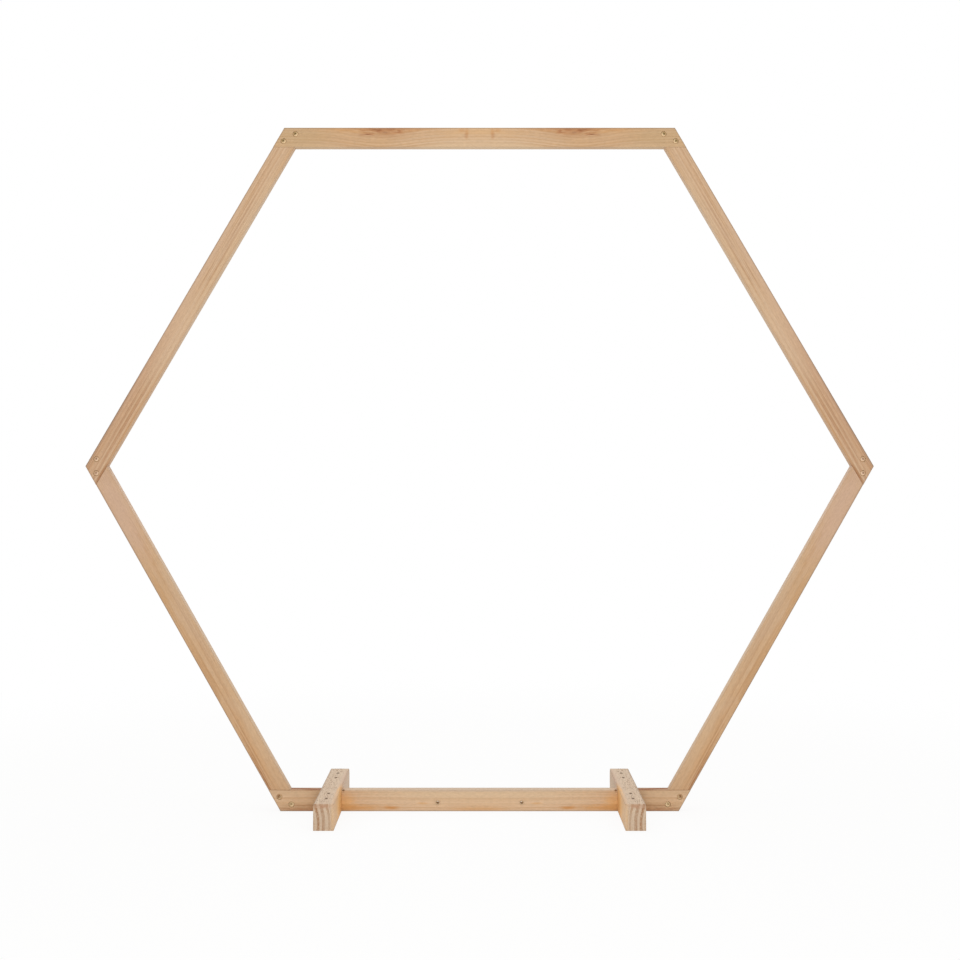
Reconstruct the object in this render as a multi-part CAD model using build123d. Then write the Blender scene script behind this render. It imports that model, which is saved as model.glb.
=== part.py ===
from build123d import *
import math
import os

# Wedding arch: a regular hexagon of pine boards, half-lapped and bolted at its corners, on two feet
# X runs along the arch, Y from the front to the back and Z up
# The origin is on the floor, under the middle of the hexagon and halfway through its boards

# Hexagon
side_length = 1150.0
board_thick = 32.0
rail_width = 55.0
top_width = 58.0
base_width = 61.0
board_round = 2.0
shoulder_gap = 0.3

# Feet that cross the bottom board
foot_width = 56.0
foot_height = 71.0
foot_length = 500.0
foot_inset = 148.0
foot_chamfer = 9.0
foot_round = 2.0
cross_depth = 30.0
cross_gap = 0.3

# Holes for ground pegs through each foot, in a front pair and a back pair
peg_hole = 8.0
peg_near = 108.0
peg_pitch = 66.0

# Two holes through the bottom board, and a toe screw pocket beside each foot
tie_hole = 8.0
tie_spacing = 243.0
tie_height = 25.0
toe_hole = 6.5
toe_depth = 9.0
toe_wall = 1.7

# Connector bolts on the long diagonal of each lap, and the sleeve nuts that take them
# Their round sections are drawn with the few sides given here
bolt_spacing = 41.0
head_wide = 15.5
head_thick = 3.5
head_recess = 1.4
head_sides = 16
shank_sides = 10
socket_wide = 5.0
socket_deep = 2.2
sink_gap = 0.6
shank_wide = 6.0
shank_gap = 0.5
shank_length = 20.0
sleeve_wide = 9.0
sleeve_length = 10.0
sleeve_gap = 0.3
thread_gap = 0.2
blind_end = 1.0

over_run = 5.0
corner_slope = math.tan(math.radians(30))
corner_skew = math.cos(math.radians(30))
centre_height = side_length * corner_skew
half_thick = board_thick / 2
foot_place = side_length / 2 - foot_inset

# Clockwise round the hexagon as seen from the front: the angle of a board's outer edge,
# which half of the lap it keeps at its first and last corner, and the name of that last corner
BOARDS = (
    ("top_beam", 90, "front", "front", "top_right"),
    ("upper_right_rail", 30, "back", "front", "right"),
    ("lower_right_rail", -30, "back", "back", "bottom_right"),
    ("bottom_beam", -90, "front", "front", "bottom_left"),
    ("lower_left_rail", -150, "back", "back", "left"),
    ("upper_left_rail", 150, "front", "back", "top_left"),
)


def width_of(name):
    """Height of a board's section in the plane of the hexagon."""
    return {"top_beam": top_width, "bottom_beam": base_width}.get(name, rail_width)


def board_plane(angle):
    """A board's own plane: x clockwise along it, y outward from its outer edge, z to the front."""
    turn = math.radians(angle)
    outward = Vector(math.cos(turn), 0, math.sin(turn))
    along = Vector(math.sin(turn), 0, -math.cos(turn))
    middle = Vector(0, 0, centre_height) + outward * centre_height
    return Plane(origin=middle, x_dir=along, z_dir=(0, -1, 0))


def flat_shape(*points):
    """A flat face through the points given."""
    return make_face(Polyline(*points, close=True))


def board_blank(width):
    """A board of full thickness with both ends cut along the outer edges of its neighbours."""
    outer = side_length / 2
    inner = outer + width * corner_slope
    outline = flat_shape((-outer, 0), (outer, 0), (inner, -width), (-inner, -width))
    blank = extrude(outline, amount=half_thick, both=True)
    return fillet(blank.edges().filter_by(Axis.X), board_round)


def lap_recess(width, other_width, side, kept):
    """The half thickness that a board gives up at one corner to its neighbour."""
    shoulder = side_length / 2 - (other_width + shoulder_gap) / corner_skew
    beyond = side_length / 2 + over_run
    top = over_run
    low = -width - over_run
    outline = flat_shape(
        (side * (shoulder - top * corner_slope), top),
        (side * (beyond - top * corner_slope), top),
        (side * (beyond - low * corner_slope), low),
        (side * (shoulder - low * corner_slope), low),
    )
    depth = half_thick + over_run
    taken = Vector(0, 0, -1 if kept == "front" else 1)
    return extrude(outline, amount=depth, dir=taken)


def lap_bolt_points(index):
    """Both bolt centres of the lap at the last corner of a board, halfway through the lap."""
    name, angle = BOARDS[index][:2]
    width = width_of(name)
    other = width_of(BOARDS[(index + 1) % len(BOARDS)][0])
    tip = Vector(side_length / 2 + width * corner_slope, -width, 0)
    heel = Vector(side_length / 2 - other / corner_skew, 0, 0)
    middle = (tip + heel) * 0.5
    step = (tip - heel).normalized() * (bolt_spacing / 2)
    plane = board_plane(angle)
    return [plane.from_local_coords(middle - step), plane.from_local_coords(middle + step)]


def rod(diameter, start, end):
    """A round bar along Y from one depth to another."""
    bar = Cylinder(diameter / 2, end - start, align=(Align.CENTER, Align.CENTER, Align.MIN))
    return Pos(0, start, 0) * Rot(-90, 0, 0) * bar


# Depths of the fasteners through a lap, measured along Y from its middle
head_seat = -half_thick + head_recess + head_thick
nut_seat = -head_seat


def bolt_bore():
    """Stepped bore through both halves of a lap, for one bolt and its sleeve nut."""
    sink = head_wide + 2 * sink_gap
    clear = shank_wide + 2 * shank_gap
    sleeve = sleeve_wide + 2 * sleeve_gap
    front_sink = rod(sink, -half_thick - over_run, head_seat)
    back_sink = rod(sink, nut_seat, half_thick + over_run)
    return front_sink + rod(clear, head_seat, 0) + rod(sleeve, 0, nut_seat) + back_sink


def turned_bar(diameter, sides, start, end):
    """A many-sided bar along Y that fits inside the round bar of the same diameter."""
    outline = Plane.XZ.offset(-end) * RegularPolygon(diameter / 2, sides)
    return extrude(outline, amount=end - start)


def socket_head():
    """Flat head with a hexagon socket, its seat at zero and its face towards the front."""
    head = turned_bar(head_wide, head_sides, -head_thick, 0)
    hexagon = RegularPolygon(socket_wide / 2, 6, major_radius=False)
    floor = Plane.XZ.offset(head_thick - socket_deep)
    return head - extrude(floor * hexagon, amount=head_thick)


def connector_bolt():
    """Bolt with its head seated in the front counterbore and its shank inside the sleeve nut."""
    shank = turned_bar(shank_wide, shank_sides, head_seat, head_seat + shank_length)
    return Pos(0, head_seat, 0) * socket_head() + shank


def sleeve_nut():
    """Nut with the same head at the back and a sleeve around the end of the shank."""
    head = Pos(0, nut_seat, 0) * Rot(0, 0, 180) * socket_head()
    sleeve = turned_bar(sleeve_wide, shank_sides, nut_seat - sleeve_length, nut_seat)
    thread_end = head_seat + shank_length + blind_end
    thread = turned_bar(shank_wide + 2 * thread_gap, shank_sides, -half_thick, thread_end)
    return head + sleeve - thread


def foot_notches():
    """What the bottom board gives up from above where the feet cross it."""
    wide = foot_width + 2 * cross_gap
    cut = Box(wide, 2 * board_thick, base_width, align=(Align.CENTER, Align.CENTER, Align.MIN))
    return [Pos(side * foot_place, 0, cross_depth) * cut for side in (-1, 1)]


def bottom_holes():
    """Tie holes through the bottom board and the slanting toe pockets on its front arris."""
    tie = rod(tie_hole, -half_thick - over_run, half_thick + over_run)
    ties = [Pos(side * tie_spacing / 2, 0, tie_height) * tie for side in (-1, 1)]
    toe_place = foot_place - foot_width / 2 - cross_gap - toe_wall - toe_hole / 2
    pocket = Rot(45, 0, 0) * Cylinder(toe_hole / 2, 2 * toe_depth)
    toes = [Pos(side * toe_place, -half_thick, base_width) * pocket for side in (-1, 1)]
    return ties + toes


def make_board(index):
    """One board of the hexagon with its laps, bolt bores and, on the bottom one, its notches."""
    name, angle, first_half, last_half = BOARDS[index][:4]
    before = width_of(BOARDS[index - 1][0])
    after = width_of(BOARDS[(index + 1) % len(BOARDS)][0])
    width = width_of(name)
    board = board_blank(width)
    board -= lap_recess(width, before, -1, first_half)
    board -= lap_recess(width, after, 1, last_half)
    board = board_plane(angle) * board
    for place in lap_bolt_points(index - 1) + lap_bolt_points(index):
        board -= Pos(*place) * bolt_bore()
    if name == "bottom_beam":
        for cut in foot_notches() + bottom_holes():
            board -= cut
    return board


def make_foot(side):
    """A foot across the bottom board, notched from below and drilled for ground pegs."""
    end = foot_length / 2
    shoulder = foot_height - foot_chamfer
    outline = Plane.YZ * flat_shape(
        (-end, 0), (end, 0), (end, shoulder), (end - foot_chamfer, foot_height),
        (foot_chamfer - end, foot_height), (-end, shoulder))
    foot = extrude(outline, amount=foot_width / 2, both=True)
    cheeks = foot.faces().filter_by(Axis.X).edges()
    foot = fillet([edge for edge in cheeks if edge.center().Z > shoulder], foot_round)
    notch = Box(2 * foot_width, board_thick + 2 * cross_gap, cross_depth,
                align=(Align.CENTER, Align.CENTER, Align.MIN))
    foot -= notch
    drill = Cylinder(peg_hole / 2, 2 * foot_height)
    for way in (-1, 1):
        for distance in (peg_near, peg_near + peg_pitch):
            foot -= Pos(0, way * distance, foot_height / 2) * drill
    return Pos(side * foot_place, 0, 0) * foot


def make_parts():
    """Every piece of the arch by its name."""
    pieces = {}
    for index, board in enumerate(BOARDS):
        pieces[board[0]] = make_board(index)
        corner = board[4]
        for number, place in enumerate(lap_bolt_points(index), start=1):
            pieces[f"{corner}_bolt_{number}"] = Pos(*place) * connector_bolt()
            pieces[f"{corner}_nut_{number}"] = Pos(*place) * sleeve_nut()
    pieces["left_foot"] = make_foot(-1)
    pieces["right_foot"] = make_foot(1)
    return pieces


os.makedirs("parts", exist_ok=True)
for node, piece in make_parts().items():
    export_step(piece, f"parts/{node}.step")
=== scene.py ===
import math

import bmesh
import bpy
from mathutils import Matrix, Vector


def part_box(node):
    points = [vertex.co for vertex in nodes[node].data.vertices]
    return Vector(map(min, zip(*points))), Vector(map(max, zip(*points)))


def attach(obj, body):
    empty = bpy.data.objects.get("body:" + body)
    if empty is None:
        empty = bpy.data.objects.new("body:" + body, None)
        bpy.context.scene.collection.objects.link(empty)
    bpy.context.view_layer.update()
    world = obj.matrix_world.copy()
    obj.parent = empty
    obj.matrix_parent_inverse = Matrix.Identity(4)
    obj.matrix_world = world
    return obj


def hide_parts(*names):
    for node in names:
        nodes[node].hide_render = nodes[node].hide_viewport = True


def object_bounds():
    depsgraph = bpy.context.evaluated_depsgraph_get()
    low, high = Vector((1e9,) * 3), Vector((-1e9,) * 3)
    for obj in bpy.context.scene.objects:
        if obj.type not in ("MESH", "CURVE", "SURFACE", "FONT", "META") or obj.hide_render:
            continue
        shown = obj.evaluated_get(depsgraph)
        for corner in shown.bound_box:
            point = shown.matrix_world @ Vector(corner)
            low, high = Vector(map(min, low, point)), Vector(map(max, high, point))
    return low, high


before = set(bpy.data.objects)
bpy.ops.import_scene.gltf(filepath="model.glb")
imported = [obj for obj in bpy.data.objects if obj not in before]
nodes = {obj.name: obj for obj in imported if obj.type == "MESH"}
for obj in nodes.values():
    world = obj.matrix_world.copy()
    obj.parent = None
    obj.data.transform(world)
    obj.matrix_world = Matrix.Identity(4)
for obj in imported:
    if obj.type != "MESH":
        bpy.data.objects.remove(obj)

# Hexagonal wedding arch of planed pine boards, bolted at the corners, on two cross feet
# Sizes are in metres, and the places of the boards and bolts come from the frame
# The left half mirrors the right one, so each pattern is laid out once, for the right half
MM = 0.001
cad_low, cad_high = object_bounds()

# Hexagon and feet, read from the frame; a corner leans by half of what it turns
corner_lean = math.radians(30)
top_low, top_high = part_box("top_beam")
base_low, base_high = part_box("bottom_beam")
foot_low, foot_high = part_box("right_foot")
top_width = top_high.z - top_low.z
base_width = base_high.z - base_low.z
half_thick = top_high.y
foot_tall = foot_high.z - foot_low.z
apothem = cad_high.x * math.cos(corner_lean)
half_side = cad_high.x / 2
foot_place = (foot_low.x + foot_high.x) / 2
foot_half = (foot_high.x - foot_low.x) / 2

# Sizes that the frame's boxes don't give, and the sides that a round head is drawn with
rail_width = 55.0 * MM
tie_place = (121.5 * MM, 25.0 * MM)
peg_places = (108.0 * MM, 174.0 * MM)
toe_inset = 5.2 * MM
head_thick = 3.5 * MM
head_rim = 0.9 * MM
socket_wide = 5.0 * MM
socket_deep = 2.2 * MM
socket_lead = 0.35 * MM
shank_wide = 6.0 * MM
sleeve_wide = 9.0 * MM
thread_wide = 6.4 * MM
round_sides = 48
blind_end = 1.0 * MM

# Camera of the photograph, pitched up by two and a half degrees
camera_place = (0, -4.391, 0.991)
camera_pitch = math.radians(92.5)
camera_sensor = 36
camera_lens = 56.2
camera_shift = (0.0004, -0.0809)

# Floor, and soft light: the strength of the sky, and each lamp's place, width and watts
floor_width = 60
floor_drop = 0.1 * MM
sky_strength = 0.85
LAMPS = {
    "front_lamp": ((0, -3.4, 1.6), 1.6, 14),
    "top_lamp": ((0, -0.4, 4.5), 2.5, 14),
    "back_lamp": ((0, 3.6, 2.2), 2.0, 8),
}

# Colours as they are seen on a screen, in 255ths
TOP_PALE = (220, 186, 149)
TOP_LATE = (194, 148, 102)
UPPER_PALE = (213, 179, 144)
UPPER_LATE = (172, 126, 88)
LOWER_PALE = (208, 171, 132)
LOWER_LATE = (180, 134, 90)
BOTTOM_PALE = (224, 191, 156)
BOTTOM_LATE = (194, 148, 104)
FOOT_PALE = (213, 190, 164)
FOOT_LATE = (156, 108, 70)
FOOT_FLECK = (160, 128, 100)
PINK_WOOD = (207, 172, 146)
WARM_WOOD = (197, 150, 98)
# Orange in the grain, and painted bounce light beside the feet
ORANGE_WOOD_AND_BOUNCE_LIGHT = (216, 158, 92)
# Bright wood, and painted bounce light beside the feet
BRIGHT_WOOD_AND_BOUNCE_LIGHT = (234, 184, 120)
# Painted light on the walls of holes
HOLE_WALL_LIGHT = (248, 222, 184)
OLIVE_WOOD = (190, 160, 118)
# Cream wood, and painted highlight along the bottom board's top edge
CREAM_WOOD_AND_HIGHLIGHT = (220, 190, 154)
RED_WOOD = (168, 106, 66)
KNOT_WOOD = (128, 68, 34)
STREAK_WOOD = (144, 84, 36)
RUSSET_WOOD = (202, 140, 78)
# Grey for clouds in the grain, and painted light and shade on the faces turned inwards
GREY_WOOD_AND_PAINTED_LIGHT = (200, 175, 151)
# Brown for pores, and for painted shade on arrises and joints
EDGE_SHADE_AND_PORE = (142, 118, 98)
# Painted shade: shadow of the feet, and shade in the peg holes
SHADE_BROWN = (112, 84, 58)
# Painted shade in and round holes
HOLE_SHADE_BROWN = (124, 106, 70)
ZINC_RIM = (200, 168, 128)
# Painted highlight and shade on the bolt heads, pink and rust-brown at some corners
ZINC_LIT = (222, 194, 154)
ZINC_PINK_LIT = (230, 198, 170)
ZINC_SHADED = (152, 128, 86)
ZINC_RUST_AND_SHADE = (150, 108, 76)
ZINC_GRIME = (150, 122, 84)
FLOOR_WHITE = (246, 245, 243)

CORNERS = ("top_right", "right", "bottom_right", "bottom_left", "left", "top_left")


def linear(colour):
    """A screen colour in 255ths as the linear RGBA that a shader takes."""
    shares = [value / 255 for value in colour]
    return tuple(s / 12.92 if s <= 0.04045 else ((s + 0.055) / 1.055) ** 2.4 for s in shares) + (1.0,)


class Graph:
    """Adds nodes to one node tree and joins them."""

    def __init__(self, tree):
        self.tree = tree

    def feed(self, socket, value):
        """Sets an input to a value, or joins it to another node's output."""
        if isinstance(value, bpy.types.NodeSocket):
            self.tree.links.new(value, socket)
        else:
            socket.default_value = value

    def add(self, kind, inputs=None, **settings):
        """A node with its settings and inputs."""
        node = self.tree.nodes.new(kind)
        for name, value in settings.items():
            setattr(node, name, value)
        for key, value in (inputs or {}).items():
            self.feed(node.inputs[key], value)
        return node

    def math(self, operation, *values):
        """One sum on numbers."""
        return self.add("ShaderNodeMath", dict(enumerate(values)), operation=operation).outputs[0]

    def vector(self, operation, *values):
        """One sum on vectors."""
        node = self.add("ShaderNodeVectorMath", dict(enumerate(values)), operation=operation)
        return node.outputs["Value" if operation in ("LENGTH", "DOT_PRODUCT") else "Vector"]

    def parts(self, vector):
        """The three numbers of a vector."""
        return self.add("ShaderNodeSeparateXYZ", {0: vector}).outputs

    def joined(self, x, y, z):
        """A vector from three numbers."""
        return self.add("ShaderNodeCombineXYZ", {0: x, 1: y, 2: z}).outputs[0]

    def step(self, value, low, high, start=0.0, end=1.0):
        """A soft step from start to end, as the value goes from low to high."""
        inputs = {"Value": value, "From Min": low, "From Max": high, "To Min": start, "To Max": end}
        return self.add("ShaderNodeMapRange", inputs, interpolation_type="SMOOTHSTEP").outputs[0]

    def noise(self, place, stretch, detail=2.0, rough=0.5):
        """Smooth noise in a place that is first stretched along its three directions."""
        inputs = {"Vector": self.vector("MULTIPLY", place, stretch), "Scale": 1.0,
                  "Detail": detail, "Roughness": rough}
        return self.add("ShaderNodeTexNoise", inputs).outputs

    def mix(self, share, first, second, blend="MIX"):
        """Two colours mixed by a share from 0 to 1."""
        node = self.add("ShaderNodeMix", {"Factor": share}, data_type="RGBA", blend_type=blend)
        first_in, second_in = [s for s in node.inputs if s.type == "RGBA"]
        self.feed(first_in, first)
        self.feed(second_in, second)
        return next(s for s in node.outputs if s.type == "RGBA")

    def group(self, tree, **inputs):
        """A node group placed in this tree. An underscore in a name stands for a space."""
        node = self.add("ShaderNodeGroup", node_tree=tree)
        for name, value in inputs.items():
            self.feed(node.inputs[name.replace("_", " ")], value)
        return node.outputs


def new_group(name, inputs, outputs, kind="ShaderNodeTree"):
    """A node group with named sockets, its graph, and the sockets inside it."""
    tree = bpy.data.node_groups.new(name, kind)
    for label, socket_type, value in inputs:
        socket = tree.interface.new_socket(label, in_out="INPUT", socket_type="NodeSocket" + socket_type)
        if value is not None:
            socket.default_value = value
    for label, socket_type in outputs:
        tree.interface.new_socket(label, in_out="OUTPUT", socket_type="NodeSocket" + socket_type)
    graph = Graph(tree)
    return graph, graph.add("NodeGroupInput").outputs, graph.add("NodeGroupOutput").inputs


# Effects that several woods share

def board_space_group():
    """Place and facing on a board: X along it, Y through it and Z across it, mirrored on the left."""
    g, given, out = new_group(
        "board_space",
        [("Middle", "Vector", (0, 0, 0)), ("Turn", "Vector", (0, 0, 0))],
        [("Place", "Vector"), ("Facing", "Vector")])
    source = g.add("ShaderNodeTexCoord").outputs
    x, y, z = g.parts(source["Object"])
    normal_x, normal_y, normal_z = g.parts(source["Normal"])
    mirrored = g.joined(g.math("ABSOLUTE", x), y, z)
    facing = g.joined(g.math("MULTIPLY", g.math("SIGN", x), normal_x), normal_y, normal_z)
    layout = {"Place": {"Vector": mirrored, "Location": given["Middle"], "Rotation": given["Turn"]},
              "Facing": {"Vector": facing, "Rotation": given["Turn"]}}
    for name, inputs in layout.items():
        g.feed(out[name], g.add("ShaderNodeMapping", inputs, vector_type="TEXTURE").outputs[0])
    return g.tree


def growth_rings_group():
    """Latewood of growth rings round a pith line that wanders along the board."""
    drift_waves = (2.2, 9, 9)
    uneven_waves = 70
    uneven_rings = 1.3
    rise_band = (0.15, 0.9)
    fall_band = (0.9, 1.0)
    faintest = 0.6
    g, given, out = new_group(
        "growth_rings",
        [("Place", "Vector", (0, 0, 0)), ("Pith", "Vector", (0, 0, 0)), ("Ring Width", "Float", 0.008),
         ("Wander", "Float", 0.004), ("Sharpness", "Float", 1.6), ("Seed", "Float", 0.0)],
        [("Latewood", "Float"), ("Ring Tone", "Float")])
    shifted = g.vector("ADD", given["Place"], g.joined(given["Seed"], 0, 0))
    drift = g.vector("SUBTRACT", g.noise(shifted, drift_waves, 1.0)["Color"], (0.5, 0.5, 0.5))
    drift = g.vector("MULTIPLY", drift, g.joined(0, given["Wander"], given["Wander"]))
    off_pith = g.vector("ADD", g.vector("SUBTRACT", given["Place"], given["Pith"]), drift)
    radius = g.vector("LENGTH", g.vector("MULTIPLY", off_pith, (0, 1, 1)))
    spread = g.math("MULTIPLY_ADD", radius, uneven_waves, given["Seed"])
    uneven = g.add("ShaderNodeTexNoise", {"W": spread, "Detail": 1.0}, noise_dimensions="1D").outputs[0]
    years = g.math("DIVIDE", radius, given["Ring Width"])
    count = g.math("ADD", years, g.math("MULTIPLY", uneven, uneven_rings))
    part = g.math("FRACT", count)
    rise = g.math("POWER", g.step(part, *rise_band), given["Sharpness"])
    fall = g.step(part, *fall_band, 1, 0)
    year = g.math("ADD", g.math("FLOOR", count), given["Seed"])
    tone = g.add("ShaderNodeTexWhiteNoise", {"W": year}, noise_dimensions="1D").outputs["Value"]
    strength = g.math("MULTIPLY_ADD", tone, 1 - faintest, faintest)
    g.feed(out["Latewood"], g.math("MULTIPLY", g.math("MULTIPLY", rise, fall), strength))
    g.feed(out["Ring Tone"], tone)
    return g.tree


def wood_fibre_group():
    """Soft streaks, thin lines, fine fibre, short pores, clouds and mottle, drawn out along the board."""
    # Waves to the metre along, through and across the board, detail, roughness, and the band that shows
    grains = {
        "Streak": ((3, 110, 130), 2.0, 0.5, (0.32, 0.68)),
        "Line": ((2.5, 150, 260), 2.0, 0.5, (0.5, 0.66)),
        "Fibre": ((22, 950, 950), 3.0, 0.6, None),
        "Pores": ((110, 1500, 1500), 1.0, 0.5, (0.6, 0.74)),
        "Cloud": ((6, 24, 24), 3.0, 0.6, (0.32, 0.68)),
        "Mottle": ((75, 320, 320), 1.0, 0.5, None),
    }
    g, given, out = new_group("wood_fibre", [("Place", "Vector", (0, 0, 0)), ("Seed", "Float", 0.0)],
                              [(name, "Float") for name in grains])
    place = g.vector("ADD", given["Place"], g.joined(0, given["Seed"], 0))
    for name, (waves, detail, rough, band) in grains.items():
        grain = g.noise(place, waves, detail, rough)[0]
        g.feed(out[name], g.step(grain, *band) if band else grain)
    return g.tree


def arris_shade_group():
    """Painted shade along the long arrises of a board, strongest on the outer front one; faint painted
    shade on short edges.
    """
    halfway = 10 * MM
    # Strengths of the front and the back arris
    inner_arrises = (0.1, 0.7)
    outer_arrises = (1, 0.45)
    arris_band = (0.1, 1)
    short_edges = 0.2
    bend_band = (0.01, 0.22)
    rounding = 1.5 * MM
    patch_break_waves = (14, 120, 120)
    patch_break_band = (0.3, 0.7)
    faintest_patch = 0.75
    g, given, out = new_group(
        "painted_arris_shade",
        [("Place", "Vector", (0, 0, 0)), ("Half Section", "Vector", (0, 0, 0)), ("Reach", "Float", 0.0)],
        [("Mask", "Float")])
    gaps = g.parts(g.vector("SUBTRACT", given["Half Section"], g.vector("ABSOLUTE", given["Place"])))[1:]
    near = [g.step(g.math("DIVIDE", gap, given["Reach"]), *arris_band, 1, 0) for gap in gaps]
    through, across = g.parts(given["Place"])[1:]
    inner = g.step(through, -halfway, halfway, *inner_arrises)
    outer = g.step(through, -halfway, halfway, *outer_arrises)
    outward = g.step(across, -halfway, halfway)
    side = g.math("MULTIPLY_ADD", outward, g.math("SUBTRACT", outer, inner), inner)
    # Noise breaks up the painted shade along the arrises
    patchy = g.step(g.noise(given["Place"], patch_break_waves)[0], *patch_break_band, faintest_patch, 1)
    long_arris = g.math("MULTIPLY", g.math("MULTIPLY", near[0], near[1]), g.math("MULTIPLY", side, patchy))
    # Faint painted shade where the surface bends at any other edge of the mesh
    flat = g.add("ShaderNodeNewGeometry").outputs["Normal"]
    rounded = g.add("ShaderNodeBevel", {"Radius": rounding}, samples=6).outputs[0]
    bend = g.math("SUBTRACT", 1, g.vector("DOT_PRODUCT", flat, rounded))
    g.feed(out["Mask"], g.math("MAXIMUM", long_arris, g.step(bend, *bend_band, 0, short_edges)))
    return g.tree


def smudge_group():
    """A soft spot with a ragged rim, such as a knot, a resin streak or a stain."""
    rag_waves = (45, 240, 240)
    full_part = 0.25
    g, given, out = new_group(
        "smudge",
        [("Place", "Vector", (0, 0, 0)), ("Centre", "Vector", (0, 0, 0)), ("Reach", "Vector", (1, 1, 1)),
         ("Ragged", "Float", 0.5)],
        [("Mask", "Float")])
    off = g.vector("DIVIDE", g.vector("SUBTRACT", given["Place"], given["Centre"]), given["Reach"])
    shake = g.math("SUBTRACT", g.noise(given["Place"], rag_waves, 3.0)[0], 0.5)
    away = g.math("MULTIPLY_ADD", shake, given["Ragged"], g.vector("LENGTH", off))
    g.feed(out["Mask"], g.step(away, full_part, 1.0, 1, 0))
    return g.tree


BOARD_SPACE = board_space_group()
GROWTH_RINGS = growth_rings_group()
WOOD_FIBRE = wood_fibre_group()
ARRIS_SHADE = arris_shade_group()
SMUDGE = smudge_group()


# What the materials are built from

def empty_graph(owner):
    """The graph of a material or world, with no nodes in it."""
    owner.use_nodes = True
    owner.node_tree.nodes.clear()
    return Graph(owner.node_tree)


def new_material(name):
    """A material, its graph and the inputs of its shader."""
    material = bpy.data.materials.new(name)
    g = empty_graph(material)
    shader = g.add("ShaderNodeBsdfPrincipled")
    g.add("ShaderNodeOutputMaterial", {"Surface": shader.outputs[0]})
    return material, g, shader.inputs


def smudges(g, place, colour, spots):
    """Lays soft spots on a colour in turn, each with a centre, reach, raggedness, colour and strength."""
    for centre, reach, ragged, tint, strength in spots:
        mask = g.group(SMUDGE, Place=place, Centre=centre, Reach=reach, Ragged=ragged)["Mask"]
        colour = g.mix(g.math("MULTIPLY", mask, strength), colour, linear(tint))
    return colour


def wood_figure(g, middle, turn, half_section, seed, pith, ring_width, wander, sag=None, sharpness=1.6):
    """A board's place, facing and wood masks by their names, laid out from its middle."""
    arris_reach = 5.5 * MM
    end_band = (0.5, 0.8)
    place, facing = g.group(BOARD_SPACE, Middle=middle, Turn=turn)
    figure = sagging(g, place, sag) if sag else place
    rings = g.group(GROWTH_RINGS, Place=figure, Pith=pith, Ring_Width=ring_width, Wander=wander,
                    Sharpness=sharpness, Seed=seed)
    fibre = g.group(WOOD_FIBRE, Place=figure, Seed=seed)
    # The arris mask is painted shade along the edges
    arris = g.group(ARRIS_SHADE, Place=place, Half_Section=(1, *half_section), Reach=arris_reach)
    masks = {"place": place, "figure": figure, "facing": facing, "arris": arris["Mask"],
             "end": g.step(g.math("ABSOLUTE", g.parts(facing)[0]), *end_band)}
    masks.update({socket.name: socket for socket in list(rings) + list(fibre)})
    return masks


def wood_colour(g, wood, pale, late, late_share, warm_share=0.25, line_share=0.2, lively=1.0,
                end_share=0.4, painted_light_side=(0, 0, -1)):
    """Pale and late wood, warm streaks, thin lines and grey clouds; lively scales the rings and lines.

    The side of a board that faces the inside of the arch is painted greyer, as painted light and shade of
    that side.
    """
    cloud_share = 0.35
    painted_light_share = 0.6
    painted_light_band = (0.5, 0.8)
    share = g.math("MULTIPLY", wood["Latewood"], g.math("MULTIPLY", lively, late_share))
    on_end = g.math("MULTIPLY", wood["Latewood"], g.math("MULTIPLY", wood["end"], end_share))
    colour = g.mix(g.math("MINIMUM", g.math("MAXIMUM", share, on_end), 1), linear(pale), linear(late))
    colour = g.mix(g.math("MULTIPLY", wood["Streak"], warm_share), colour, linear(WARM_WOOD))
    lines = g.math("MULTIPLY", g.math("MULTIPLY", wood["Line"], lively), line_share)
    colour = g.mix(lines, colour, linear(late))
    clouds = g.math("MULTIPLY", wood["Cloud"], wood["Ring Tone"])
    colour = g.mix(g.math("MULTIPLY", clouds, cloud_share), colour, linear(GREY_WOOD_AND_PAINTED_LIGHT))
    # Painted light and shade: the faces turned to the inside of the arch are painted grey
    inside = g.step(g.vector("DOT_PRODUCT", wood["facing"], painted_light_side), *painted_light_band)
    return g.mix(g.math("MULTIPLY", inside, painted_light_share), colour, linear(GREY_WOOD_AND_PAINTED_LIGHT))


def finish_wood(g, shader, wood, colour):
    """Mottle, fibre, pores, painted shade on the arrises, roughness and relief over a wood's colour."""
    darkest = 0.75
    mottle_share = 0.26
    fibre_share = 0.24
    pore_share = 0.25
    edge_shade_share = 0.6
    shine = 0.3
    smoothest = 0.5
    rougher_by = 0.25
    raised_share = 0.5
    pore_depth = 0.4
    relief_strength = 0.6
    relief_height = 0.25 * MM
    fibre = g.math("MULTIPLY_ADD", wood["Fibre"], fibre_share, darkest)
    grain = g.math("MULTIPLY_ADD", wood["Mottle"], mottle_share, fibre)
    colour = g.mix(1.0, colour, g.joined(grain, grain, grain), "MULTIPLY")
    colour = g.mix(g.math("MULTIPLY", wood["Pores"], pore_share), colour, linear(EDGE_SHADE_AND_PORE))
    # Painted shade along the arrises
    colour = g.mix(g.math("MULTIPLY", wood["arris"], edge_shade_share), colour, linear(EDGE_SHADE_AND_PORE))
    g.feed(shader["Base Color"], colour)
    g.feed(shader["Specular IOR Level"], shine)
    g.feed(shader["Roughness"], g.math("MULTIPLY_ADD", wood["Fibre"], rougher_by, smoothest))
    raised = g.math("MULTIPLY", g.math("ADD", wood["Fibre"], wood["Latewood"]), raised_share)
    relief = g.math("SUBTRACT", raised, g.math("MULTIPLY", wood["Pores"], pore_depth))
    bump = {"Height": relief, "Strength": relief_strength, "Distance": relief_height}
    g.feed(shader["Normal"], g.add("ShaderNodeBump", bump).outputs[0])


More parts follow.
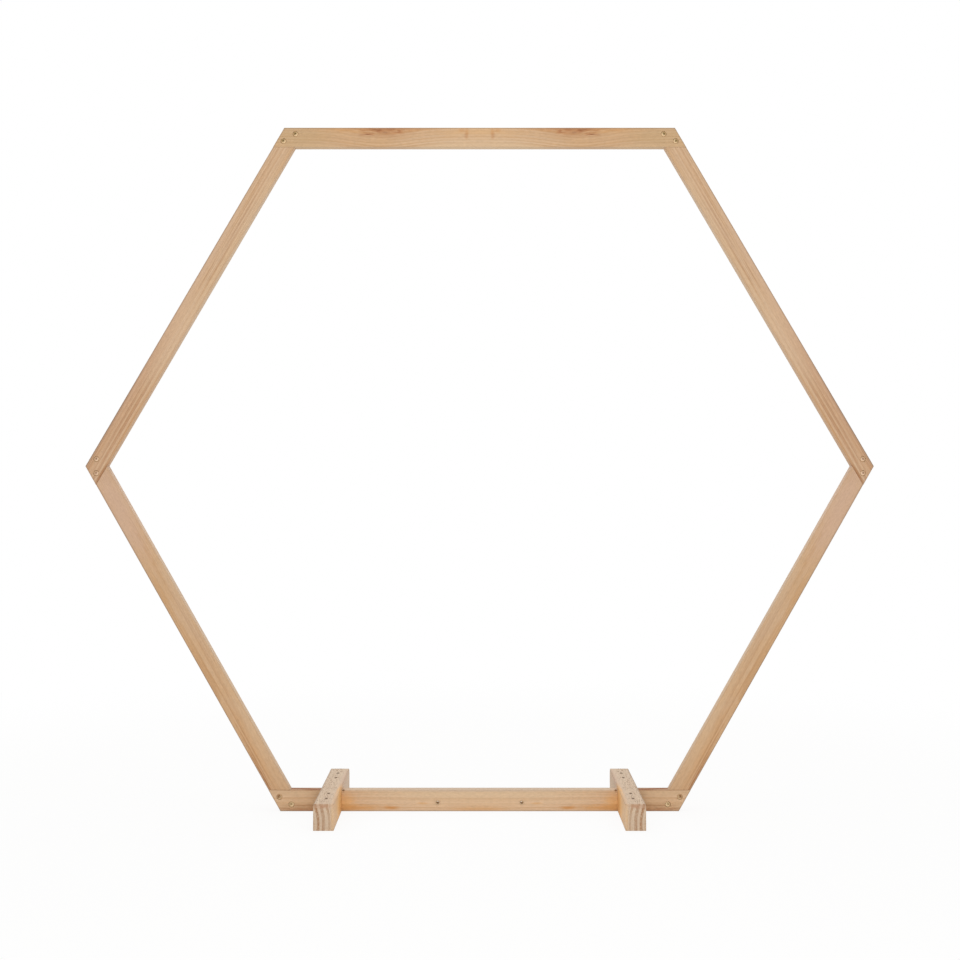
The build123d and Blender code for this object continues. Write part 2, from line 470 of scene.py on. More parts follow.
def sagging(g, place, sag):
    """The place that a pattern is read at where the grain dips round a knot: centre, reach and depth."""
    centre, reach, depth = sag
    x, y, z = g.parts(place)
    away = g.math("DIVIDE", g.math("SUBTRACT", x, centre), reach)
    bell = g.math("EXPONENT", g.math("MULTIPLY", g.math("MULTIPLY", away, away), -1))
    return g.joined(x, y, g.math("MULTIPLY_ADD", bell, depth, z))


def board_figure(g, outward, width, seed, pith, ring_width, wander, sag=None):
    """The figure of a board of the right half, whose outer edge faces the angle given, in degrees."""
    angle = math.radians(outward)
    reach = apothem - width / 2
    middle = (reach * math.cos(angle), 0, apothem + reach * math.sin(angle))
    turn = (0, math.radians(90 - outward), 0)
    return wood_figure(g, middle, turn, (half_thick, width / 2), seed, pith, ring_width, wander, sag)


def joint_shade_and_hole_light(g, wood, edge, colour):
    """Paints shade on a board along its slanting ends, where the boards meet, and paints light on the walls
    of the holes through it.
    """
    joint_shade_reach = 5 * MM
    end_share = 0.5
    rim = (1 * MM, 3 * MM)
    lit_wall_band = (0.2, 0.6)
    x, _, z = g.parts(wood["place"])
    from_edge = g.math("SUBTRACT", edge, g.math("ABSOLUTE", z))
    end_x = g.math("MULTIPLY_ADD", g.math("SUBTRACT", edge, z), math.tan(corner_lean), half_side)
    from_end = g.math("SUBTRACT", end_x, g.math("ABSOLUTE", x))
    # Painted shade along the slanting ends, where the boards meet
    colour = g.mix(g.step(from_end, 0, joint_shade_reach, end_share, 0), colour, linear(EDGE_SHADE_AND_PORE))
    inside = g.step(g.math("MINIMUM", from_edge, from_end), *rim)
    # Painted light on the walls of the holes
    lit_wall = g.step(g.math("ABSOLUTE", g.parts(wood["facing"])[1]), *lit_wall_band, 1, 0)
    return g.mix(g.math("MULTIPLY", lit_wall, inside), colour, linear(HOLE_WALL_LIGHT))


# Woods

def top_pine():
    """Top board: grain that dips under a knotty patch on each side, and a small mark beside the middle."""
    material, g, shader = new_material("top_pine")
    edge = top_width / 2
    knots = 0.290
    wood = board_figure(g, 90, top_width, seed=3.0, pith=(0, 0.03, 0.08), ring_width=0.0075, wander=0.006,
                        sag=(knots, 0.12, 0.020))
    colour = wood_colour(g, wood, TOP_PALE, TOP_LATE, late_share=0.8)
    spots = [
        ((knots + 0.07, 0, 0.010), (0.33, 0.05, 0.070), 0.3, WARM_WOOD, 0.34),
        ((0.54, 0, 0), (0.16, 0.05, 0.080), 0.4, OLIVE_WOOD, 0.50),
        ((0, 0, -edge), (0.30, 0.05, 0.040), 0.3, CREAM_WOOD_AND_HIGHLIGHT, 0.70),
        ((0.36, 0, -edge), (0.40, 0.05, 0.020), 0.3, CREAM_WOOD_AND_HIGHLIGHT, 0.40),
        ((0, 0, edge - 0.008), (0.16, 0.05, 0.030), 0.4, BRIGHT_WOOD_AND_BOUNCE_LIGHT, 0.30),
    ]
    colour = smudges(g, wood["figure"], colour, spots)
    marks = [
        ((knots + 0.01, 0, edge), (0.26, 0.05, 0.026), 0.7, ORANGE_WOOD_AND_BOUNCE_LIGHT, 0.50),
        ((knots - 0.02, 0, edge), (0.20, 0.05, 0.020), 1.0, RED_WOOD, 0.44),
        ((knots - 0.01, 0, edge - 0.018), (0.12, 0.05, 0.024), 0.8, RED_WOOD, 0.24),
        ((knots - 0.005, 0, edge - 0.006), (0.080, 0.05, 0.020), 1.2, RED_WOOD, 0.50),
        ((0.334, 0, edge - 0.0205), (0.032, 0.03, 0.0052), 0.9, RED_WOOD, 0.85),
        ((0.330, 0, edge - 0.0195), (0.014, 0.03, 0.0038), 0.8, KNOT_WOOD, 0.7),
        ((0.301, 0, edge - 0.0070), (0.024, 0.03, 0.0070), 0.8, KNOT_WOOD, 0.75),
        ((0.279, 0, edge - 0.0140), (0.014, 0.03, 0.0070), 0.8, KNOT_WOOD, 0.62),
        ((0.238, 0, edge - 0.0100), (0.010, 0.03, 0.0100), 0.7, RED_WOOD, 0.80),
        ((0.0375, 0, edge - 0.0140), (0.0090, 0.03, 0.034), 0.4, RUSSET_WOOD, 0.60),
        ((0.0400, 0, edge - 0.0230), (0.0110, 0.03, 0.017), 0.4, RED_WOOD, 0.50),
        ((0.0520, 0, edge - 0.0070), (0.0180, 0.03, 0.013), 0.4, RUSSET_WOOD, 0.55),
    ]
    colour = smudges(g, wood["place"], colour, marks)
    finish_wood(g, shader, wood, joint_shade_and_hole_light(g, wood, edge, colour))
    return material


def upper_pine():
    """Upper side boards: smooth and pinkish, with dark streaks and a dark joint by the side corners."""
    material, g, shader = new_material("upper_pine")
    edge = rail_width / 2
    wood = board_figure(g, 30, rail_width, seed=11.0, pith=(0, 0.09, 0.10), ring_width=0.0085, wander=0.004)
    # Rings and lines show most towards the side corner and in a stretch of the upper half
    along = g.parts(wood["place"])[0]
    rising = g.step(along, -0.42, -0.25, 0.5, 1)
    middling = g.math("MULTIPLY", g.step(along, -0.12, 0.02, 0.8, 0.35), rising)
    lively = g.math("MAXIMUM", g.step(along, 0.0, 0.45, 0.35, 0.8), middling)
    colour = wood_colour(g, wood, UPPER_PALE, UPPER_LATE, late_share=0.68, warm_share=0.3, line_share=0.75,
                         lively=lively, end_share=0.6)
    spots = [
        ((0.12, 0, -0.005), (0.24, 0.05, 0.05), 0.5, CREAM_WOOD_AND_HIGHLIGHT, 0.45),
        ((0.12, 0, 0), (0.22, 0.05, 0.04), 0.5, PINK_WOOD, 0.3),
        ((-0.10, 0, edge), (0.36, 0.05, 0.026), 0.5, PINK_WOOD, 0.35),
        ((0.28, 0, edge), (0.30, 0.05, 0.030), 0.5, PINK_WOOD, 0.35),
        ((0.50, 0, edge), (0.66, 0.05, 0.06), 0.4, RED_WOOD, 0.24),
        ((-0.36, 0, -edge), (0.34, 0.05, 0.030), 0.5, CREAM_WOOD_AND_HIGHLIGHT, 0.4),
        ((-0.12, 0, -edge), (0.24, 0.05, 0.022), 0.5, CREAM_WOOD_AND_HIGHLIGHT, 0.45),
        ((0.42, 0, -edge), (0.40, 0.05, 0.012), 0.8, ORANGE_WOOD_AND_BOUNCE_LIGHT, 0.2),
        ((0.44, 0, -0.0125), (0.28, 0.05, 0.0075), 0.9, RED_WOOD, 0.20),
        # Painted shade along the outer front arris
        ((0.44, -half_thick, edge), (0.36, 0.02, 0.0070), 0.3, EDGE_SHADE_AND_PORE, 0.45),
        ((-0.52, 0, -edge), (0.16, 0.05, 0.022), 0.6, WARM_WOOD, 0.3),
        ((0.57, -half_thick, -edge), (0.060, 0.02, 0.0090), 0.3, STREAK_WOOD, 0.55),
    ]
    colour = smudges(g, wood["figure"], colour, spots)
    finish_wood(g, shader, wood, joint_shade_and_hole_light(g, wood, edge, colour))
    return material


def lower_pine():
    """Lower side boards: pink at the top, then warmer, with dark streaks near the bottom on the outside."""
    material, g, shader = new_material("lower_pine")
    edge = rail_width / 2
    wood = board_figure(g, -30, rail_width, seed=23.0, pith=(0, 0.12, 0.02), ring_width=0.010, wander=0.005)
    # Rings and lines show most on the outer half towards the bottom corner
    along, _, across = g.parts(wood["place"])
    streaky = g.math("MULTIPLY", g.step(along, 0.0, 0.3), g.step(across, 0.0, 0.02))
    lively = g.math("MULTIPLY_ADD", streaky, 1.25, 1.0)
    colour = wood_colour(g, wood, LOWER_PALE, LOWER_LATE, late_share=0.34, warm_share=0.3, line_share=0.45,
                         lively=lively)
    spots = [
        ((-0.42, 0, 0), (0.28, 0.05, 0.06), 0.6, PINK_WOOD, 0.8),
        ((0.46, 0, 0.005), (0.36, 0.05, 0.045), 0.6, ORANGE_WOOD_AND_BOUNCE_LIGHT, 0.20),
        ((0.30, 0, -edge), (0.40, 0.05, 0.026), 0.5, CREAM_WOOD_AND_HIGHLIGHT, 0.40),
        ((-0.20, 0, -edge), (0.40, 0.05, 0.030), 0.5, CREAM_WOOD_AND_HIGHLIGHT, 0.25),
        ((0.42, 0, -0.008), (0.25, 0.05, 0.0100), 0.5, CREAM_WOOD_AND_HIGHLIGHT, 0.35),
        ((0.10, 0, edge), (0.50, 0.05, 0.030), 0.8, WARM_WOOD, 0.22),
        ((-0.15, 0, edge - 0.01), (0.10, 0.05, 0.020), 0.8, WARM_WOOD, 0.4),
        ((0.50, 0, edge), (0.16, 0.05, 0.009), 0.5, RED_WOOD, 0.35),
        ((0.40, 0, edge - 0.011), (0.20, 0.05, 0.0030), 0.5, STREAK_WOOD, 0.42),
        ((0.47, 0, edge - 0.0055), (0.13, 0.05, 0.0028), 0.5, STREAK_WOOD, 0.7),
        ((0.33, 0, edge - 0.018), (0.16, 0.05, 0.0026), 0.5, STREAK_WOOD, 0.28),
    ]
    colour = smudges(g, wood["figure"], colour, spots)
    finish_wood(g, shader, wood, joint_shade_and_hole_light(g, wood, edge, colour))
    return material


def bottom_pine():
    """Bottom board: painted orange bounce light beside the feet, orange low in front, darker outside them
    mostly by painted shadow of the feet, painted highlight along its top edge, and painted shade round its
    holes.
    """
    material, g, shader = new_material("bottom_pine")
    edge = base_width / 2
    beside = foot_place - foot_half
    beyond = foot_place + foot_half
    tie_x, tie_z = tie_place
    wood = board_figure(g, -90, base_width, seed=37.0, pith=(0, 0.10, 0.05), ring_width=0.008, wander=0.004)
    colour = wood_colour(g, wood, BOTTOM_PALE, BOTTOM_LATE, late_share=0.6, warm_share=0.35, line_share=0.3)
    spots = [
        # Painted highlight: paler along the top edge inside the feet
        ((-0.05, 0, -edge), (0.52, 0.05, 0.046), 0.4, CREAM_WOOD_AND_HIGHLIGHT, 0.85),
        # Painted light: a grey strip along the top face, like the other inward faces
        ((0, 0, -edge), (0.62, 0.05, 0.0090), 0.2, GREY_WOOD_AND_PAINTED_LIGHT, 0.85),
        # Painted bounce light: orange glow on the beam beside each foot
        ((-(beside - 0.004), 0, 0.008), (0.052, 0.05, 0.042), 0.5, BRIGHT_WOOD_AND_BOUNCE_LIGHT, 0.8),
        ((-(beside - 0.040), 0, 0.020), (0.12, 0.05, 0.014), 0.9, ORANGE_WOOD_AND_BOUNCE_LIGHT, 0.6),
        ((-0.255, 0, edge - 0.010), (0.038, 0.05, 0.0070), 0.5, RUSSET_WOOD, 0.85),
        ((-0.165, 0, edge - 0.023), (0.024, 0.05, 0.0050), 0.5, ORANGE_WOOD_AND_BOUNCE_LIGHT, 0.5),
        ((-0.02, 0, edge - 0.006), (0.10, 0.05, 0.0090), 0.5, ORANGE_WOOD_AND_BOUNCE_LIGHT, 0.4),
        ((-(beyond + 0.06), 0, 0), (0.16, 0.05, 0.10), 0.4, WARM_WOOD, 0.25),
        # Painted highlight along the top front arris outside the foot
        ((-(beyond + 0.07), -half_thick, -edge), (0.16, 0.008, 0.022), 0.3, CREAM_WOOD_AND_HIGHLIGHT, 0.55),
        # Painted shadow of the foot: darker low on the front outside the foot
        ((-(beyond + 0.05), -half_thick, 0.024), (0.18, 0.03, 0.026), 0.5, SHADE_BROWN, 0.14),
        ((-(beyond + 0.03), -half_thick, 0.014), (0.10, 0.03, 0.0040), 0.5, STREAK_WOOD, 0.35),
        ((-(beyond + 0.05), -half_thick, 0.0235), (0.13, 0.03, 0.0036), 0.5, STREAK_WOOD, 0.25),
        # Painted shadow of the foot, next to its outer side
        ((-beyond, 0, 0), (0.05, 0.05, 0.06), 0.4, SHADE_BROWN, 0.3),
        ((-(beyond + 0.03), 0, edge), (0.13, 0.05, 0.015), 0.8, RED_WOOD, 0.6),
        ((-(beyond + 0.02), -0.007, -edge), (0.05, 0.013, 0.0050), 0.3, STREAK_WOOD, 1.0),
        ((-(beyond + 0.06), 0.001, -edge), (0.05, 0.011, 0.0050), 0.3, STREAK_WOOD, 1.0),
        ((-(beyond + 0.10), 0.009, -edge), (0.05, 0.008, 0.0050), 0.3, STREAK_WOOD, 0.9),
        ((-(beyond + 0.06), 0, -edge), (0.16, 0.05, 0.0050), 0.2, STREAK_WOOD, 0.46),
        # Painted shade in the toe pocket
        ((-(beside - toe_inset), -half_thick, -edge), (0.0060, 0.012, 0.0060), 0.3, HOLE_SHADE_BROWN, 0.6),
    ]
    colour = joint_shade_and_hole_light(g, wood, edge, smudges(g, wood["place"], colour, spots))
    # Painted shade round the tie holes
    hole_shade_spots = [((-tie_x, -half_thick, edge - tie_z), (0.0105, 0.02, 0.0105), 0.3, HOLE_SHADE_BROWN, 0.38)]
    finish_wood(g, shader, wood, smudges(g, wood["place"], colour, hole_shade_spots))
    return material


def flecks(g, place):
    """Short dark dashes along the grain of pale wood, denser in patches."""
    dash_waves = (48, 400, 400)
    dash_band = (0.54, 0.66)
    patch_waves = (20, 60, 60)
    patch_band = (0.3, 0.6)
    faintest = 0.45
    dashes = g.step(g.noise(place, dash_waves, 1.0)[0], *dash_band)
    patches = g.step(g.noise(place, patch_waves, 1.0)[0], *patch_band, faintest, 1)
    return g.math("MULTIPLY", dashes, patches)


def foot_pine():
    """Feet: pale and flecked on top, broad dark rings on the ends, painted orange bounce light inside by
    the bottom board, and painted shade in the peg holes.
    """
    material, g, shader = new_material("foot_pine")
    middle = (foot_place, 0, foot_low.z + foot_tall / 2)
    end = foot_high.y
    inner = foot_half
    top = foot_tall / 2
    turn = (0, 0, math.radians(90))
    gap_waves = (60, 420, 150)
    gap_band = (0.36, 0.60)
    top_band = (0.6, 0.9)
    wood = wood_figure(g, middle, turn, (inner, top), seed=51.0, pith=(0, -0.17, -0.02), ring_width=0.0155,
                       wander=0.003, sharpness=0.9)
    beside = g.parts(wood["place"])[1]
    broken = g.step(g.noise(wood["place"], gap_waves)[0], *gap_band, 0.75, 1.6)
    end_share = g.math("MULTIPLY", broken, g.step(beside, 0.25 * inner, 0.65 * inner, 1, 0.5))
    # The inner side of a foot is painted greyer, as painted light and shade
    colour = wood_colour(g, wood, FOOT_PALE, FOOT_LATE, late_share=0.12, warm_share=0.1, line_share=0.08,
                         end_share=end_share, painted_light_side=(0, 1, 0))
    on_top = g.step(g.parts(wood["facing"])[2], *top_band)
    outer_part = g.step(beside, 0.2 * inner, 0.8 * inner, 1, 0.25)
    fleck = g.math("MULTIPLY", g.math("MULTIPLY", flecks(g, wood["place"]), on_top), outer_part)
    colour = g.mix(fleck, colour, linear(FOOT_FLECK))
    spots = [
        ((0, inner, top), (0.40, 0.018, 0.02), 0.5, PINK_WOOD, 0.5),
        # Painted bounce light: orange glow on the inner side of a foot, by the bottom board
        ((-0.150, inner, -0.005), (0.220, 0.014, 0.090), 0.5, BRIGHT_WOOD_AND_BOUNCE_LIGHT, 0.45),
        ((-0.060, inner, 0), (0.125, 0.014, 0.090), 0.5, BRIGHT_WOOD_AND_BOUNCE_LIGHT, 0.8),
        ((-0.045, inner, -0.006), (0.090, 0.012, 0.060), 0.7, ORANGE_WOOD_AND_BOUNCE_LIGHT, 0.65),
        ((-end, 0.002, top - 0.004), (0.014, 0.012, 0.007), 0.5, RED_WOOD, 0.40),
        ((-end, -0.008, top - 0.004), (0.016, 0.050, 0.010), 0.4, RED_WOOD, 0.30),
        ((end, 0.004, top - 0.004), (0.016, 0.050, 0.010), 0.4, RED_WOOD, 0.45),
    ]
    # Painted shade in the peg holes and round their rims
    spots += [((way * distance, 0, top), (0.017, 0.0065, 0.02), 0.2, SHADE_BROWN, 0.75)
              for way in (-1, 1) for distance in peg_places]
    finish_wood(g, shader, wood, smudges(g, wood["place"], colour, spots))
    return material


# Metal

def head_shade_masks(g, place, off, outward, height):
    """Three masks: painted shade with rust, the upper bolts of the bottom corners, and the bolts of the
    side corners.

    Painted shade lies on the upper outer side of a head, and is weaker at the side corners and the lowest
    bolts; the upper bolts of the bottom corners carry at least a share of rust.
    """
    slant = 0.7
    patch_waves = (300, 300, 300)
    raggedness = 12 * MM
    shade_band = (-4 * MM, 3 * MM)
    corner_band = (0.1, 0.2)
    bolt_row_band = (25 * MM, 35 * MM)
    weaker_by = 0.45
    upward = g.math("MULTIPLY_ADD", off[2], slant, g.math("MULTIPLY", outward, slant))
    patch = g.noise(place, patch_waves)[0]
    ragged = g.math("MULTIPLY_ADD", g.math("SUBTRACT", patch, 0.5), raggedness, upward)
    low_upper = g.math("MULTIPLY", g.step(height, *corner_band, 1, 0), g.step(height, *bolt_row_band))
    lowest = g.step(height, *bolt_row_band, 1, 0)
    beside = g.step(g.math("ABSOLUTE", g.math("SUBTRACT", height, apothem)), *corner_band, 1, 0)
    shade_and_rust = g.math("MAXIMUM", g.step(ragged, *shade_band), g.math("MULTIPLY", low_upper, weaker_by))
    kept = g.math("MULTIPLY_ADD", g.math("ADD", beside, lowest), -weaker_by, 1)
    return g.math("MULTIPLY", shade_and_rust, kept), low_upper, beside


def bolt_metal():
    """Yellow zinc plate: painted shade and highlight on each head, pink painted highlight at the side
    corners, a rust blot on the upper bolts of the bottom corners, grimy in its sockets.
    """
    rim_band = (4.5 * MM, 7 * MM)
    grime_share = 0.3
    smoothest = 0.36
    rougher_by = 0.15
    scratch_waves = (2600, 300, 2600)
    scratch_strength = 0.3
    scratch_depth = 0.05 * MM
    material, g, shader = new_material("bolt_metal_plate")
    place = g.add("ShaderNodeTexCoord").outputs["Object"]
    sunk = g.add("ShaderNodeAttribute", attribute_name="sunk").outputs["Fac"]
    centre = g.add("ShaderNodeAttribute", attribute_name="centre").outputs["Vector"]
    middle_x, _, height = g.parts(centre)
    off = g.parts(g.vector("SUBTRACT", place, centre))
    outward = g.math("MULTIPLY", g.math("SIGN", middle_x), off[0])
    shade_and_rust, low_upper, beside = head_shade_masks(g, place, off, outward, height)
    # Painted highlight: the lit side of each head, pink at the side corners
    pale = g.mix(beside, linear(ZINC_LIT), linear(ZINC_PINK_LIT))
    # Painted shade, rust brown at the side corners and on the upper bolts of the bottom corners
    dark = g.mix(g.math("MAXIMUM", low_upper, beside), linear(ZINC_SHADED), linear(ZINC_RUST_AND_SHADE))
    radius = g.vector("LENGTH", g.joined(off[0], 0, off[2]))
    colour = g.mix(g.step(radius, *rim_band), g.mix(shade_and_rust, pale, dark), linear(ZINC_RIM))
    colour = g.mix(g.math("MULTIPLY", sunk, grime_share), colour, linear(ZINC_GRIME))
    g.feed(shader["Base Color"], colour)
    g.feed(shader["Metallic"], 1.0)
    rough = g.math("MULTIPLY_ADD", shade_and_rust, rougher_by, smoothest)
    g.feed(shader["Roughness"], g.math("MULTIPLY_ADD", sunk, rougher_by, rough))
    scratches = g.noise(place, scratch_waves)[0]
    bump = {"Height": scratches, "Strength": scratch_strength, "Distance": scratch_depth}
    g.feed(shader["Normal"], g.add("ShaderNodeBump", bump).outputs[0])
    return material


# Fasteners

def row_value(g, row, values):
    """The value that belongs to a row of the outline."""
    switch = g.add("GeometryNodeIndexSwitch", data_type="FLOAT")
    while len(switch.index_switch_items) < len(values):
        switch.index_switch_items.new()
    g.feed(switch.inputs["Index"], row)
    for socket, value in zip(switch.inputs[1:], values):
        g.feed(socket, value)
    return switch.outputs[0]


def fastener_tree():
    """Socket fasteners on points: an outline turned about Y, with its socket rows pulled to a hexagon."""
    sixth = math.pi / 3
    floor_slope = 1.15
    rim_corner = 0.3
    socket_rows = 3
    smooth_bend = math.radians(32)
    weld = 1e-6
    sizes = ("Head Width", "Head Thickness", "Rim", "Socket Width", "Socket Depth", "Socket Lead",
             "Stem Width", "Length", "Bore Width", "Bore Depth", "Half Turn")
    inputs = [("Geometry", "Geometry", None), ("Sides", "Int", round_sides), ("Seed", "Int", 0),
              ("Metal", "Material", None)]
    inputs += [(label, "Float", 0.0) for label in sizes]
    g, given, out = new_group("socket_fasteners", inputs, [("Geometry", "Geometry")], "GeometryNodeTree")

    def half(label):
        return g.math("MULTIPLY", given[label], 0.5)

    head, stem = half("Head Width"), half("Stem Width")
    bore, hexagon = half("Bore Width"), half("Socket Width")
    seat, end = given["Head Thickness"], given["Length"]
    rim, lead = given["Rim"], given["Socket Lead"]
    socket_rim = g.math("MULTIPLY_ADD", hexagon, 1 / math.cos(sixth / 2), lead)
    bore_floor = g.math("SUBTRACT", end, given["Bore Depth"])
    outline = [
        (0.0, g.math("MULTIPLY", given["Socket Depth"], floor_slope)),
        (hexagon, given["Socket Depth"]),
        (hexagon, lead),
        (socket_rim, 0.0),
        (g.math("SUBTRACT", head, rim), 0.0),
        (g.math("MULTIPLY_ADD", rim, -rim_corner, head), g.math("MULTIPLY", rim, rim_corner)),
        (head, rim),
        (head, seat),
        (stem, seat),
        (stem, g.math("SUBTRACT", end, lead)),
        (g.math("SUBTRACT", stem, lead), end),
        (bore, end),
        (bore, bore_floor),
        (0.0, bore_floor),
    ]
    rows = len(outline)
    columns = g.math("ADD", given["Sides"], 1)
    grid = g.add("GeometryNodeMeshGrid", {"Size X": 1.0, "Size Y": 1.0, "Vertices X": columns,
                                          "Vertices Y": rows}).outputs["Mesh"]
    across, up = g.parts(g.add("GeometryNodeInputPosition").outputs[0])[:2]
    angle = g.math("MULTIPLY", g.math("ADD", across, 0.5), math.tau)
    row = g.math("ROUND", g.math("MULTIPLY", g.math("ADD", up, 0.5), rows - 1))
    within = g.math("SUBTRACT", g.math("MODULO", g.math("ADD", angle, sixth / 2), sixth), sixth / 2)
    pulled = g.math("DIVIDE", 1.0, g.math("COSINE", within))
    in_socket = g.math("LESS_THAN", row, socket_rows - 0.5)
    stretch = g.math("MULTIPLY_ADD", in_socket, g.math("SUBTRACT", pulled, 1), 1)
    radius = g.math("MULTIPLY", row_value(g, row, [r for r, depth in outline]), stretch)
    depth = row_value(g, row, [depth for r, depth in outline])
    ring = g.joined(g.math("MULTIPLY", radius, g.math("COSINE", angle)), depth,
                    g.math("MULTIPLY", radius, g.math("SINE", angle)))
    marked = g.add("GeometryNodeStoreNamedAttribute",
                   {"Geometry": grid, "Name": "sunk", "Value": in_socket},
                   data_type="FLOAT", domain="POINT").outputs[0]
    turned = g.add("GeometryNodeSetPosition", {"Geometry": marked, "Position": ring}).outputs[0]
    closed = g.add("GeometryNodeMergeByDistance", {"Geometry": turned, "Distance": weld}).outputs[0]
    bend = g.add("GeometryNodeInputMeshEdgeAngle").outputs["Unsigned Angle"]
    soft = g.math("LESS_THAN", bend, smooth_bend)
    smooth = g.add("GeometryNodeSetShadeSmooth", {"Geometry": closed, "Shade Smooth": soft},
                   domain="EDGE").outputs[0]
    spin = g.add("FunctionNodeRandomValue", {"Max": sixth, "Seed": given["Seed"]}, data_type="FLOAT")
    spun = next(s for s in spin.outputs if s.enabled)
    # Each head's centre, which the metal reads to place its painted shade and highlight
    centred = g.add("GeometryNodeStoreNamedAttribute",
                    {"Geometry": given["Geometry"], "Name": "centre",
                     "Value": g.add("GeometryNodeInputPosition").outputs[0]},
                    data_type="FLOAT_VECTOR", domain="POINT").outputs[0]
    placed = g.add("GeometryNodeInstanceOnPoints",
                   {"Points": centred, "Instance": smooth,
                    "Rotation": g.joined(0.0, spun, given["Half Turn"])}).outputs[0]
    real = g.add("GeometryNodeRealizeInstances", {"Geometry": placed}).outputs[0]
    finished = g.add("GeometryNodeSetMaterial", {"Geometry": real, "Material": given["Metal"]}).outputs[0]
    g.feed(out["Geometry"], finished)
    return g.tree


def fasteners(name, tree, replaced, sizes, material):
    """One mesh of like fasteners, each standing where a CAD node stands."""
    backward = sizes["Half Turn"] > 0
    points = []
    for node in replaced:
        low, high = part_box(node)
        middle = (low + high) / 2
        points.append((middle.x, high.y if backward else low.y, middle.z))
    mesh = bpy.data.meshes.new(name + "_points")
    mesh.from_pydata(points, [], [])
    carrier = bpy.data.objects.new(name + "_points", mesh)
    bpy.context.scene.collection.objects.link(carrier)
    modifier = carrier.modifiers.new("fasteners", "NODES")
    modifier.node_group = tree
    values = {"Sides": round_sides, "Metal": material, **sizes}
    for item in tree.interface.items_tree:
        if item.in_out == "INPUT" and item.name in values:
            modifier[item.identifier] = values[item.name]
    shown = carrier.evaluated_get(bpy.context.evaluated_depsgraph_get())
    made = bpy.data.meshes.new_from_object(shown)
    carrier.modifiers.remove(modifier)
    bpy.data.objects.remove(carrier)
    facing_out(made)
    piece = bpy.data.objects.new(name, made)
    bpy.context.scene.collection.objects.link(piece)
    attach(piece, "root")
    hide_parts(*replaced)


def facing_out(mesh):
    """Turns every face of a closed mesh outwards."""
    work = bmesh.new()
    work.from_mesh(mesh)
    bmesh.ops.recalc_face_normals(work, faces=work.faces)
    work.to_mesh(mesh)
    work.free()


def make_fasteners():
    """Connector bolts at the front and sleeve nuts at the back."""
    tree = fastener_tree()
    metal = bolt_metal()
    bolts = [f"{corner}_bolt_{n}" for corner in CORNERS for n in (1, 2)]
    nuts = [f"{corner}_nut_{n}" for corner in CORNERS for n in (1, 2)]
    bolt_low, bolt_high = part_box(bolts[0])
    nut_low, nut_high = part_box(nuts[0])
    head = {"Head Width": bolt_high.x - bolt_low.x, "Head Thickness": head_thick, "Rim": head_rim,
            "Socket Width": socket_wide, "Socket Depth": socket_deep, "Socket Lead": socket_lead}
    bolt_long = bolt_high.y - bolt_low.y
    nut_long = nut_high.y - nut_low.y
    overlap = bolt_high.y - nut_low.y
    fasteners("connector_bolts", tree, bolts, {
        **head, "Stem Width": shank_wide, "Length": bolt_long, "Bore Width": 0.0, "Bore Depth": 0.0,
        "Half Turn": 0.0, "Seed": 4}, metal)
    fasteners("sleeve_nuts", tree, nuts, {
        **head, "Stem Width": sleeve_wide, "Length": nut_long, "Bore Width": thread_wide,
        "Bore Depth": overlap + blind_end, "Half Turn": math.pi, "Seed": 9}, metal)


# Boards and feet keep their CAD shape and get their woods

def dress_boards():
    """Gives each board and foot its own wood."""
    woods = {"top_beam": top_pine(), "bottom_beam": bottom_pine()}
    upper, lower, foot = upper_pine(), lower_pine(), foot_pine()
    for hand in ("left", "right"):
        woods[f"upper_{hand}_rail"] = upper
        woods[f"lower_{hand}_rail"] = lower
        woods[f"{hand}_foot"] = foot
    for node, wood in woods.items():
        for slot in nodes[node].material_slots:
            slot.material = wood


# Stage

def seen_directly(g):
    """1 for what the camera, a mirror or glass sees, and 0 for light that falls on things."""
    path = g.add("ShaderNodeLightPath").outputs
    seen = g.math("MAXIMUM", path["Is Camera Ray"], path["Is Glossy Ray"])
    return g.math("MAXIMUM", seen, path["Is Transmission Ray"])


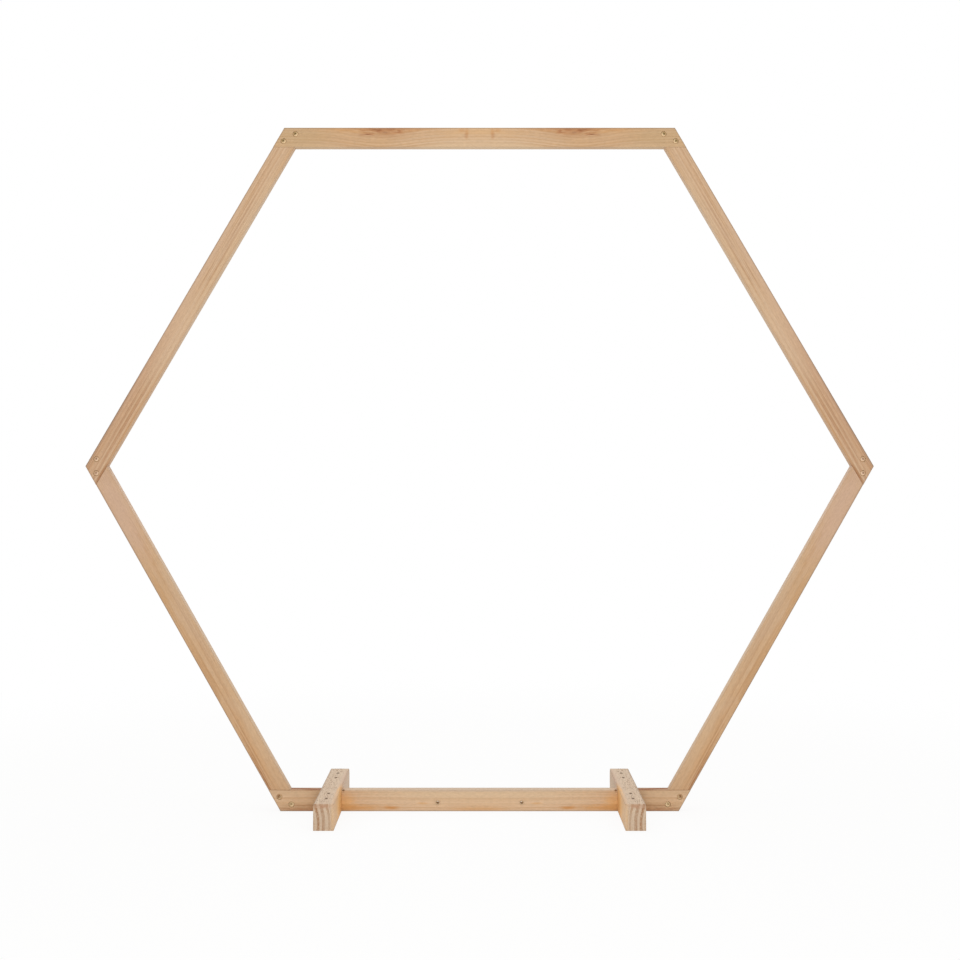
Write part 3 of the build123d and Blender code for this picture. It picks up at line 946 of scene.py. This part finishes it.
def make_world():
    """An even pale sky that is seen as white."""
    world = bpy.data.worlds.new("studio")
    bpy.context.scene.world = world
    g = empty_graph(world)
    power = g.math("MAXIMUM", seen_directly(g), sky_strength)
    light = g.add("ShaderNodeBackground", {"Color": (1, 1, 1, 1), "Strength": power})
    g.add("ShaderNodeOutputWorld", {"Surface": light.outputs[0]})


def make_floor():
    """A wide white floor that is mostly seen as white, with a faint shadow near the arch."""
    glow_share = 0.88
    fade_band = (1.2, 3.0)
    bpy.ops.mesh.primitive_plane_add(size=floor_width, location=(0, 0, cad_low.z - floor_drop))
    floor = bpy.context.object
    floor.name = "floor"
    material = bpy.data.materials.new("floor_white")
    g = empty_graph(material)
    paint = g.add("ShaderNodeBsdfDiffuse", {"Color": linear(FLOOR_WHITE)}).outputs[0]
    glow = g.add("ShaderNodeEmission", {"Color": (1, 1, 1, 1), "Strength": 1.0}).outputs[0]
    place = g.add("ShaderNodeTexCoord").outputs["Object"]
    glow_part = g.step(g.vector("LENGTH", place), *fade_band, glow_share, 1)
    share = g.math("MULTIPLY", seen_directly(g), glow_part)
    both = g.add("ShaderNodeMixShader", {0: share, 1: paint, 2: glow}).outputs[0]
    g.add("ShaderNodeOutputMaterial", {"Surface": both})
    floor.data.materials.append(material)


def make_lamp(name, place, size, watts):
    """A soft square lamp that points from its place at the middle of the hexagon."""
    data = bpy.data.lights.new(name, "AREA")
    data.size = size
    data.energy = watts
    lamp = bpy.data.objects.new(name, data)
    bpy.context.scene.collection.objects.link(lamp)
    lamp.location = place
    way = -lamp.location
    way.z += apothem
    lamp.rotation_euler = way.to_track_quat("-Z", "Y").to_euler()


def make_camera():
    """The photograph's view of the arch."""
    data = bpy.data.cameras.new("camera")
    data.sensor_width = camera_sensor
    data.lens = camera_lens
    data.shift_x, data.shift_y = camera_shift
    camera = bpy.data.objects.new("camera", data)
    camera.location = camera_place
    camera.rotation_euler = (camera_pitch, 0, 0)
    bpy.context.scene.collection.objects.link(camera)
    bpy.context.scene.camera = camera


make_camera()
dress_boards()
make_fasteners()
make_world()
make_floor()
for lamp_name, (lamp_place, lamp_width, lamp_watts) in LAMPS.items():
    make_lamp(lamp_name, lamp_place, lamp_width, lamp_watts)
bpy.context.scene.view_settings.view_transform = "Standard"
